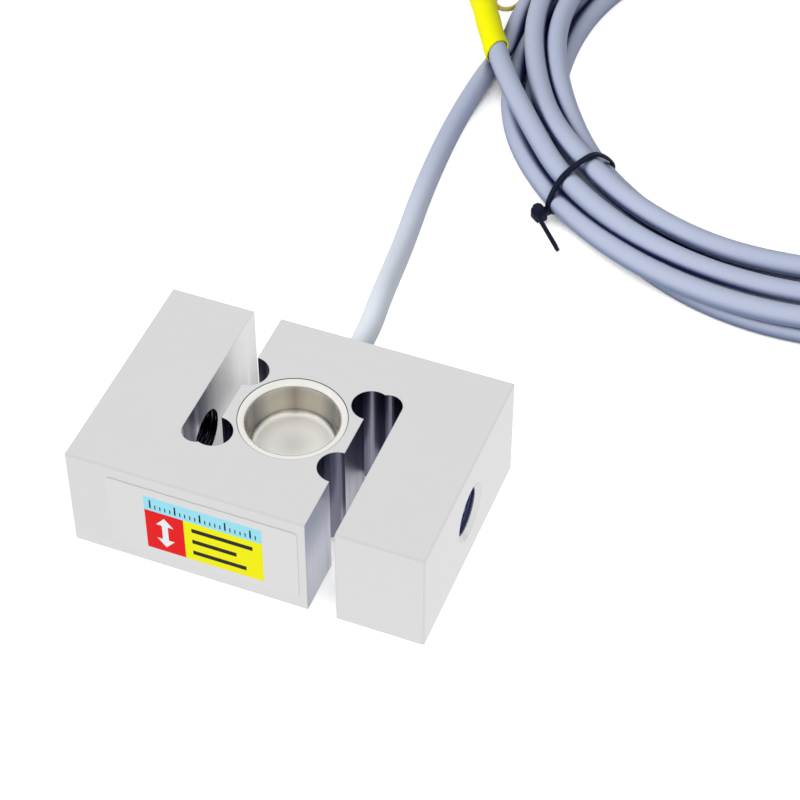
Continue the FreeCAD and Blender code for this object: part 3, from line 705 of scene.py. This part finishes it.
beamValues = {
    "weld": 0.002,
    "flatAngle": 0.6,
    "edgeBreak": 0.16,
    "breakAngle": 50.0,
    "smoothAngle": 32.0,
    "threadPitch": 1.75,
    "threadMinor": 5.3,
    "threadMajor": 6.0,
    "threadRows": 14,  # rows to one pitch
    "threadAround": 56,
    "threadStart": 18.6,
    "threadEnd": 39.0,
    "threadHeight": 12.7,
    "threadFade": 36.7,
    "threadRunout": 0.9,
    "flankTop": 0.78,  # share of half a pitch where the flank begins, and how much it takes
    "flankSpan": 0.64,
    "slotWall": 19.4,
    "mouthRadius": 7.0,
    "skin": 0.35,  # how deep a face still counts as the outside
    "level": 0.9995,  # a normal this near an axis belongs to a flat face
    "endFacing": 0.95,
}


def threadRod(values, side):
    rows = int((values["threadEnd"] - values["threadStart"]) / values["threadPitch"] * values["threadRows"])
    around = values["threadAround"]
    depth = values["threadMajor"] - values["threadMinor"]
    points = []
    for row in range(rows + 1):
        along = values["threadStart"] + row * values["threadPitch"] / values["threadRows"]
        for step in range(around):
            turn = step / around
            phase = (along / values["threadPitch"] - turn) % 1.0
            rise = min(max((values["flankTop"] - abs(2 * phase - 1)) / values["flankSpan"], 0.0), 1.0)
            rise *= min(max((values["threadFade"] - along) / values["threadRunout"], 0.0), 1.0)
            radius = values["threadMinor"] + depth * rise
            angle = 2 * math.pi * turn * side
            points.append((side * along * mm, radius * math.cos(angle) * mm,
                           (values["threadHeight"] + radius * math.sin(angle)) * mm))
    return meshPiece("thread_rod", points, ringFaces(rows + 1, around, capped=True), smooth=False)


def finishFaces(beam, values):
    low, high = (Vector(corner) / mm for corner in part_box("s_body"))
    skin, play = values["skin"], 0.02
    for face in beam.data.polygons:
        place = face.center / mm
        outside = (min(place - low) < skin or min(high - place) < skin)
        fromAxis = math.hypot(place.y, place.z - values["threadHeight"])
        level = max(abs(value) for value in face.normal) > values["level"]
        inThread = values["slotWall"] < abs(place.x) < values["threadFade"] + 10 * play
        inThread = inThread and fromAxis < values["threadMajor"] + play
        face.use_smooth = not (outside or level)
        if inThread and abs(face.normal.x) < values["endFacing"]:
            face.material_index = 2 if place.x > 0 else 3
            face.use_smooth = True
        elif not outside and not (abs(place.x) > values["threadFade"] and fromAxis < values["mouthRadius"]):
            face.material_index = 1


def makeBeam(values):
    shape = bmesh.new()
    shape.from_mesh(nodes["s_body"].data)
    bmesh.ops.remove_doubles(shape, verts=shape.verts, dist=values["weld"] * mm)
    bmesh.ops.dissolve_limit(shape, angle_limit=math.radians(values["flatAngle"]), verts=shape.verts,
                             edges=shape.edges)
    shape.verts.index_update()
    beam = meshPiece("s_beam", [corner.co[:] for corner in shape.verts],
                     [[corner.index for corner in face.verts] for face in shape.faces])
    shape.free()
    addModifier(beam, "BEVEL", width=values["edgeBreak"] * mm, segments=1, limit_method="ANGLE",
                angle_limit=math.radians(values["breakAngle"]), use_clamp_overlap=True)
    rods = [threadRod(values, side) for side in (-1, 1)]
    for rod in rods:
        addModifier(beam, "BOOLEAN", operation="DIFFERENCE", solver="EXACT", object=rod)
    settle(beam)
    for rod in rods:
        bpy.data.objects.remove(rod)
    beam.data.materials.clear()
    for finish in (nickel, slotShadedNickel, threadPaintedShade, threadPaintedDeepShade):
        beam.data.materials.append(finish)
    beam.data.set_sharp_from_angle(angle=math.radians(values["smoothAngle"]))
    finishFaces(beam, values)
    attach(beam, "root")
    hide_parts("s_body")
    return beam


sBeam = makeBeam(beamValues)
print("S-beam cut:", len(sBeam.data.polygons), "faces")


# The pressed covers over the gauge bore.

coverValues = {
    "around": 144,
    "smoothAngle": 40.0,
    "arcSteps": 7,
    # radius from the middle, height from the face, corner radius
    "section": [(0, -7.8, 0), (9.1, -7.8, 1.7), (9.55, 0, 1.15), (11.17, 0, 0.3), (11.17, -0.86, 0),
                (10.05, -0.86, 0.3), (9.5, -8.2, 2.1), (0, -8.2, 0)],
}


def roundedSection(corners, arcSteps):
    places = []
    for index, (x, y, radius) in enumerate(corners):
        if radius == 0:
            places.append((x, y))
            continue
        here = Vector((x, y))
        back = Vector(corners[index - 1][:2]) - here
        ahead = Vector(corners[(index + 1) % len(corners)][:2]) - here
        half = back.angle(ahead) / 2
        reach = min(radius / math.tan(half), 0.8 * back.length, 0.8 * ahead.length)  # leaves some straight
        size = reach * math.tan(half)
        start, finish = here + back.normalized() * reach, here + ahead.normalized() * reach
        middle = here + (back.normalized() + ahead.normalized()).normalized() * size / math.sin(half)
        for step in range(arcSteps + 1):
            blend = step / arcSteps
            spoke = (start - middle).slerp(finish - middle, blend)
            places.append(tuple(middle + spoke.normalized() * size))
    return places


def makeCover(name, node, side, values):
    low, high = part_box("s_body")
    height = (high.z if side > 0 else low.z) / mm
    section = [(max(radius, 0.0), side * rise) for radius, rise
               in roundedSection(values["section"], values["arcSteps"])]
    cover = lathe(name, section, values["around"], (0, 0, height), champagne)
    cover.data.set_sharp_from_angle(angle=math.radians(values["smoothAngle"]))
    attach(cover, "root")
    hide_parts(node)


for name, node, side in (("upper_cover", "cover_cup_upper", 1), ("lower_cover", "cover_cup_lower", -1)):
    makeCover(name, node, side, coverValues)
print("covers pressed")


# The nylon tie round the bundle.

tieValues = {
    "travel": -1.5,  # degrees past the coil's tie angle
    "outward": 233.0,
    "strands": [(1.2, 3.5), (-3.9, 3.5), (-6.1, 7.9), (-2.6, 11.4), (3.3, 9.2), (6.1, 4.25)],
    "middle": 73.5,  # the frame's distance from the coil's middle
    "slack": 0.04,
    "thickness": 0.75,
    "width": 1.4,
    "rounding": 0.2,
    "bow": 0.55,
    "ringSteps": 120,
    "underGap": 0.1,
    "headMiddle": (11.2, -0.3, 2.7),
    # size, place from the head's middle, rounding, width of the outer side
    "headBlocks": {
        "head": ((3.0, 3.6, 3.5), (0, 0, 0), 0.6, 0.86),
        "neck": ((2.6, 1.6, 2.2), (-2.0, 0.2, 0), 0.4, 1.0),
        "lip": ((1.65, 2.808, 1.1), (0.2, 0, 1.75), 0.35, 1.0),
        "pawl": ((0.9, 1.5, 1.3), (1.4, 0, 0.5), 0.25, 1.0),
    },
    "tailStart": (12.3, 0.4, 3.5),
    "tailLength": 10.6,
    "tailWidth": 1.3,
    "tailThickness": 0.95,
    "tailDrop": 15.5,
    "tailTurn": -4.9,
    "tailRoll": 27.0,
    "teeth": 15,
    "toothGap": 0.52,
    "toothStart": (-0.48, 2.0, 0),
    "toothSize": (0.18, 0.26, 0.9),
    "smoothAngle": 38.0,
}


def tieFrame(values):
    angle = math.radians(cableValues["tieAngle"] - values["travel"])
    place = Vector((cableValues["coilX"] + values["middle"] * math.cos(angle),
                    cableValues["coilY"] + values["middle"] * math.sin(angle), 0)) * mm
    return Matrix.Translation(place) @ Matrix.Rotation(math.radians(values["outward"]), 4, "Z")


def strapRing(values):
    centres = [Vector(strand) for strand in values["strands"]]
    inside = cableValues["diameter"] / 2 + values["slack"]
    half, edge, bow, thick = values["width"] / 2, values["rounding"], values["bow"], values["thickness"]
    section = [(0, -half + edge), (0, half - edge), (edge, half), (thick - edge, half),
               (thick, half - edge), (thick, -half + edge), (thick - edge, -half), (edge, -half)]
    steps = values["ringSteps"]
    points = []
    for step in range(steps):
        angle = 2 * math.pi * step / steps
        way = Vector((math.cos(angle), math.sin(angle)))
        reach = [centre.dot(way) for centre in centres]
        pull = [math.exp((value - max(reach)) / bow) for value in reach]
        middle = sum((centre * share for centre, share in zip(centres, pull)), Vector((0, 0))) / sum(pull)
        stiff = max(reach) + bow * math.log(sum(pull)) - middle.dot(way)  # stiff nylon bows outwards
        for out, across in section:
            spot = middle + way * (stiff + inside + out)
            points.append((spot.x, across, max(spot.y, values["underGap"] + thick - out)))
    return meshPiece("strap", inMetres(points), ringFaces(steps, len(section), closeRows=True))


def roundedBlock(name, size, place, bevel, segments=3, taper=1.0):
    shape = bmesh.new()
    bmesh.ops.create_cube(shape, size=1.0)
    for corner in shape.verts:
        slim = taper if corner.co.x > 0 else 1.0
        corner.co = Vector((corner.co.x, corner.co.y * slim, corner.co.z * slim)) * Vector(size)
    bmesh.ops.bevel(shape, geom=shape.edges[:], offset=bevel, segments=segments, profile=0.5,
                    affect="EDGES", clamp_overlap=True)
    bmesh.ops.translate(shape, verts=shape.verts, vec=place)
    mesh = meshFrom(shape, bpy.data.meshes.new(name))
    mesh.transform(Matrix.Scale(mm, 4))
    return linkMesh(name, mesh)


def repeatTree(name, finish):
    solid = "NodeSocketGeometry"
    tree, given, result = newGroup(
        name, [("Geometry", solid, None), ("Count", "NodeSocketInt", 10), ("Step", vectorKind, (0, 0, 0)),
               ("Start", vectorKind, (0, 0, 0)), ("Size", vectorKind, (1, 1, 1))],
        [("Geometry", solid)], kind="GeometryNodeTree")
    row = addNode(tree, "GeometryNodeMeshLine",
                  {"Count": given["Count"], "Start Location": given["Start"], "Offset": given["Step"]},
                  mode="OFFSET")
    bar = addNode(tree, "GeometryNodeMeshCube", {"Size": given["Size"]})
    spread = addNode(tree, "GeometryNodeInstanceOnPoints",
                     {"Points": row.outputs["Mesh"], "Instance": bar.outputs["Mesh"]})
    real = addNode(tree, "GeometryNodeRealizeInstances", {"Geometry": spread.outputs["Instances"]})
    paint = addNode(tree, "GeometryNodeSetMaterial",
                    {"Geometry": real.outputs["Geometry"], "Material": finish})
    fill(tree, result, {"Geometry": paint.outputs["Geometry"]})
    return tree


def repeated(name, finish, **values):
    piece = linkMesh(name, bpy.data.meshes.new(name))
    tree = repeatTree(name + "_tree", finish)
    modifier = piece.modifiers.new("Repeat", "NODES")
    modifier.node_group = tree
    for socket in tree.interface.items_tree:
        if socket.item_type == "SOCKET" and socket.in_out == "INPUT" and socket.name in values:
            modifier[socket.identifier] = values[socket.name]
    return settle(piece)


def joined(name, pieces):
    shape = bmesh.new()
    for piece in pieces:
        shape.from_mesh(piece.data)
        bpy.data.objects.remove(piece)
    return meshFrom(shape, bpy.data.meshes.new(name))


def makeTie(values):
    middle = Vector(values["headMiddle"])
    blocks = [roundedBlock(name, size, middle + Vector(place), rounding, taper=taper)
              for name, (size, place, rounding, taper) in values["headBlocks"].items()]
    length = values["tailLength"]
    strip = roundedBlock("strip", (values["tailThickness"], length, values["tailWidth"]),
                         (0, length / 2, 0), values["rounding"], segments=2)
    start, size = inMetres([values["toothStart"], values["toothSize"]])
    teeth = repeated("teeth", tieNylon, Count=values["teeth"], Step=(0, values["toothGap"] * mm, 0),
                     Start=start, Size=size)
    slope = (Matrix.Translation(Vector(values["tailStart"]) * mm)
             @ Matrix.Rotation(math.radians(values["tailTurn"]), 4, "Z")
             @ Matrix.Rotation(-math.radians(values["tailDrop"]), 4, "X")
             @ Matrix.Rotation(math.radians(values["tailRoll"]), 4, "Y"))
    for piece in (strip, teeth):
        piece.data.transform(slope)
    mesh = joined("cable_tie_nylon", [strapRing(values), *blocks, strip, teeth])
    mesh.transform(tieFrame(values))
    makeSmooth(mesh)
    mesh.set_sharp_from_angle(angle=math.radians(values["smoothAngle"]))
    tie = linkMesh("nylon_tie", mesh, tieNylon)
    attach(tie, "root")
    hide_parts("cable_tie")
    return tie


nylonTie = makeTie(tieValues)
print("tie drawn round the bundle")


# The yellow sleeve on the cable's end, cut on a slant at its near end.

sleeveValues = {
    "before": 15.8,  # cover of the jacket, then reach past its end
    "after": 18.2,
    "radius": 2.92,
    "inner": 2.56,
    "spread": 0.16,  # how much wider than tall it lies
    "slant": 31.0,
    "around": 64,
    "rows": 44,
    "pinch": 0.30,  # how far the empty mouth is pressed flat
    "mouthSpread": 0.35,
    "ripples": 6,
    "rippleLobes": (2, 5),
    "rippleSize": (0.01, 0.03),
    "rippleTwist": 0.5,
    "smoothAngle": 50.0,
}


def jacketEnd():
    first, bend, last = (Vector(point) for point in cableValues["tail"])
    return (first + bend) / 2, bend, last


def alongJacket(distance):
    begin, bend, last = jacketEnd()
    way = (last - bend).normalized()
    if distance >= 0:
        return last + way * distance, way
    here, part = last, 1.0
    travelled = 0.0
    while travelled < -distance and part > 0:
        part -= 0.005  # small steps back along the jacket's last bend
        after = begin * (1 - part)**2 + bend * 2 * part * (1 - part) + last * part**2
        travelled += (after - here).length
        here = after
    way = (bend - begin) * (1 - part) + (last - bend) * part
    return here, way.normalized()


def levelAndUp(way):
    level = Vector((way.y, -way.x, 0)).normalized()
    return level, level.cross(way)


def makeSleeve(values):
    random.seed(4)
    ripples = [(random.uniform(0, 6.28), random.randint(*values["rippleLobes"]),
                random.uniform(*values["rippleSize"])) for number in range(values["ripples"])]
    rows, around = values["rows"], values["around"]

    def wall(radius, lean):
        for row in range(rows + 1):
            along = -values["before"] + (values["before"] + values["after"]) * row / rows
            centre, way = alongJacket(along)
            level, up = levelAndUp(way)
            press = min(max(along / values["after"], 0), 1)
            press = press * press * (3 - 2 * press) * values["pinch"]
            for step in range(around):
                angle = 2 * math.pi * step / around
                turned = along * values["rippleTwist"]
                ripple = sum(size * math.sin(lobes * angle + shift + turned)
                             for shift, lobes, size in ripples)
                wide = radius * (1 + press * values["mouthSpread"]) + values["spread"] + ripple
                tall = radius * (1 - press) + ripple
                slanted = (1 - row / rows) * lean * math.cos(angle)
                yield (centre + way * slanted + level * wide * math.cos(angle)
                       + up * tall * math.sin(angle)) * mm

    lean = math.tan(math.radians(values["slant"])) * values["radius"]
    points = [*wall(values["radius"], lean), *wall(values["inner"], lean)]
    count = (rows + 1) * around
    faces = ringFaces(rows + 1, around)
    faces += [tuple(count + index for index in reversed(face)) for face in ringFaces(rows + 1, around)]
    for end in (0, rows * around):
        for step in range(around):
            here, side = end + step, end + (step + 1) % around
            faces.append((here, side, count + side, count + here))
    sleeve = meshPiece("marker_sleeve", points, faces, sleeveYellow)
    sleeve.data.set_sharp_from_angle(angle=math.radians(values["smoothAngle"]))
    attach(sleeve, "root")
    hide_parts("end_sleeve")
    return sleeve


markerSleeve = makeSleeve(sleeveValues)
print("sleeve slid on")


# The five conductors that come out of the sleeve's mouth.

coreValues = {
    "circle": 1.4,
    "radius": 0.5,
    "inside": -0.3,
    "mouth": 18.4,
    "belly": 0.2,
    "gather": 0.8,
    "bearings": {"red": 126, "green": 198, "white": 270, "black": 342, "yellow": 54},
    "routes": {
        "red": [(-32.4, 192.2, 0.5), (-32.9, 210.5, 0.5)],
        "green": [(-34.9, 188.6, 0.5), (-36.9, 205, 0.5)],
        "white": [(-28.9, 193.8, 0.5), (-26.9, 211.6, 0.5)],
        "black": [(-25.2, 194.2, 0.5), (-19.2, 210.2, 0.5)],
        "yellow": [(-24.9, 180.2, 4.3), (-23.8, 183.6, 4.1), (-20.6, 184.6, 3.3), (-18.4, 182.2, 1.9),
                   (-18.9, 178.2, 0.7), (-19.8, 174.3, 0.5), (-16.6, 172, 0.5), (-13.6, 174.2, 0.5),
                   (-13.1, 180.6, 0.5), (-11.6, 188.5, 0.5)],
    },
    "lengths": {"red": 55.0, "green": 52.0, "white": 55.0, "black": 54.0, "yellow": 62.0},
    "nodeEnding": {"yellow": "shield"},
}


def makeCores(values):
    made = []
    for colour, bearing in values["bearings"].items():
        angle = math.radians(bearing)
        centre, way = alongJacket(values["inside"])
        level, up = levelAndUp(way)
        offset = (level * math.cos(angle) + up * math.sin(angle)) * values["circle"]
        inside = centre + offset
        mouth = alongJacket(values["mouth"])[0] + offset * values["gather"]
        halfway = (inside + mouth) / 2 + offset * values["belly"]
        points = [inside, halfway, mouth] + values["routes"][colour]
        core = cordCurve("lead_" + colour, points, values["radius"], coreFinishes["core_" + colour], steps=8,
                         fineness=4)
        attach(core, "root")
        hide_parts("end_core_" + values["nodeEnding"].get(colour, colour))
        made.append((core, [place * mm for place in inside], values["lengths"][colour] * mm))
    return made


leads = makeCores(coreValues)
print("conductors laid out")


# The silver label and its plain print.

labelValues = {
    "left": -29.4,
    "right": 11.6,
    "bottom": 3.1,
    "top": 22.3,
    "face": -25.4,
    "film": 0.12,
    "corner": 0.8,
    "cornerSteps": 6,
    "wave": 0.05,
    "waveSteps": 40,
    "printLeft": -21.3,
    "printRight": 4.1,
    "printBottom": 4.9,
    "printTop": 20.2,
    "band": 4.0,
    "redWidth": 8.4,
    "inks": {"blue": (0.36, 0.80, 0.93), "red": (0.86, 0.006, 0.008), "yellow": (0.98, 0.93, 0.0),
             "white": (0.93, 0.93, 0.93), "dark": (0.012, 0.012, 0.014)},
    "layer": 0.012,
    "layerShare": 0.9,
    "arrowTip": 4.3,
    "arrowHead": 2.3,
    "arrowWing": 1.9,
    "arrowShaft": 0.65,
    "bars": (13.2, 9.6, 11.6),
    "barHeight": 1.15,
    "barTop": 2.9,
    "barStep": 3.3,
    "barMargin": 1.7,
    "tickMargin": 1.35,
    "tickRise": 1.6,  # layers above the film, so that a tick is sunk into the band
    # how many, step, height above the band's foot, size
    "ticks": {"print_ticks": (22, 1.08, 1.35, (0.24, 0.012, 1.1)),
              "print_long_ticks": (5, 5.4, 1.95, (0.34, 0.012, 2.3))},
}


def plate(name, outline, front, thickness, finish):
    shape = bmesh.new()
    corners = [shape.verts.new((x * mm, front * mm, z * mm)) for x, z in outline]
    face = shape.faces.new(corners)
    made = bmesh.ops.extrude_face_region(shape, geom=[face])
    moved = [part for part in made["geom"] if isinstance(part, bmesh.types.BMVert)]
    bmesh.ops.translate(shape, verts=moved, vec=(0, thickness * mm, 0))
    bmesh.ops.recalc_face_normals(shape, faces=shape.faces)
    return linkMesh(name, meshFrom(shape, bpy.data.meshes.new(name)), finish)


def boxOutline(left, right, low, high):
    return [(left, low), (right, low), (right, high), (left, high)]


def waveOutline(values):
    left, right, low, high = (values[key] for key in ("left", "right", "bottom", "top"))
    corner, steps, parts = values["corner"], values["cornerSteps"], values["waveSteps"]
    random.seed(11)
    outline = []
    for x, z, begin in ((right - corner, low + corner, 270), (right - corner, high - corner, 0),
                        (left + corner, high - corner, 90), (left + corner, low + corner, 180)):
        for step in range(steps + 1):
            angle = math.radians(begin + 90 / steps * step)
            outline.append((x + corner * math.cos(angle), z + corner * math.sin(angle)))
        if begin == 0:  # the upper edge is cut a little unevenly
            span = [x + (left + corner - x) * part / parts for part in range(1, parts)]
            outline += [(at, high + random.uniform(-1, 1) * values["wave"]) for at in span]
    return outline


def arrowOutline(x, z, values):
    tip, head, wing, shaft = (values["arrow" + key] for key in ("Tip", "Head", "Wing", "Shaft"))
    neck = tip - head
    half = [(0, -tip), (wing, -neck), (shaft, -neck), (shaft, neck), (wing, neck), (0, tip)]
    mirrored = [(-across, rise) for across, rise in reversed(half[1:-1])]
    return [(x + across, z + rise) for across, rise in half + mirrored]


def makeLabel(values):
    front = values["face"] - values["film"]
    film = plate("label_sheet", waveOutline(values), front, values["film"], labelSilver)
    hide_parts("label_film")
    left, right, low, high = (values["print" + key] for key in ("Left", "Right", "Bottom", "Top"))
    band, split = high - values["band"], left + values["redWidth"]
    layer = values["layer"]
    inks = {name: surface("print" + name.title(), tone, 0.35, scale=2200, spread=0.08, tintSpread=0.03,
                          bump=0.03, Specular_IOR_Level=0.12) for name, tone in values["inks"].items()}
    sheets = [("blue", boxOutline(left, right, band, high)), ("red", boxOutline(left, split, low, band)),
              ("yellow", boxOutline(split, right, low, band))]
    marks = [("white", arrowOutline((left + split) / 2, (low + band) / 2, values))]
    begin = split + values["barMargin"]
    for row, reach in enumerate(values["bars"]):
        base = band - values["barTop"] - row * values["barStep"]
        marks.append(("dark", boxOutline(begin, begin + reach, base, base + values["barHeight"])))
    pieces = [film]
    for height, group in ((1, sheets), (2, marks)):
        for number, (colour, outline) in enumerate(group):
            pieces.append(plate(f"print_{colour}_{height}{number}", outline, front - layer * height,
                                layer * values["layerShare"], inks[colour]))
    for name, (count, step, rise, size) in values["ticks"].items():
        start = (left + values["tickMargin"], front - layer * values["tickRise"], band + rise)
        pieces.append(repeated(name, inks["dark"], Count=count, Step=(step * mm, 0, 0),
                               Start=Vector(start) * mm, Size=Vector(size) * mm))
    for piece in pieces:
        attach(piece, "root")


makeLabel(labelValues)
print("label printed")


for core, start, length in leads:
    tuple(start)
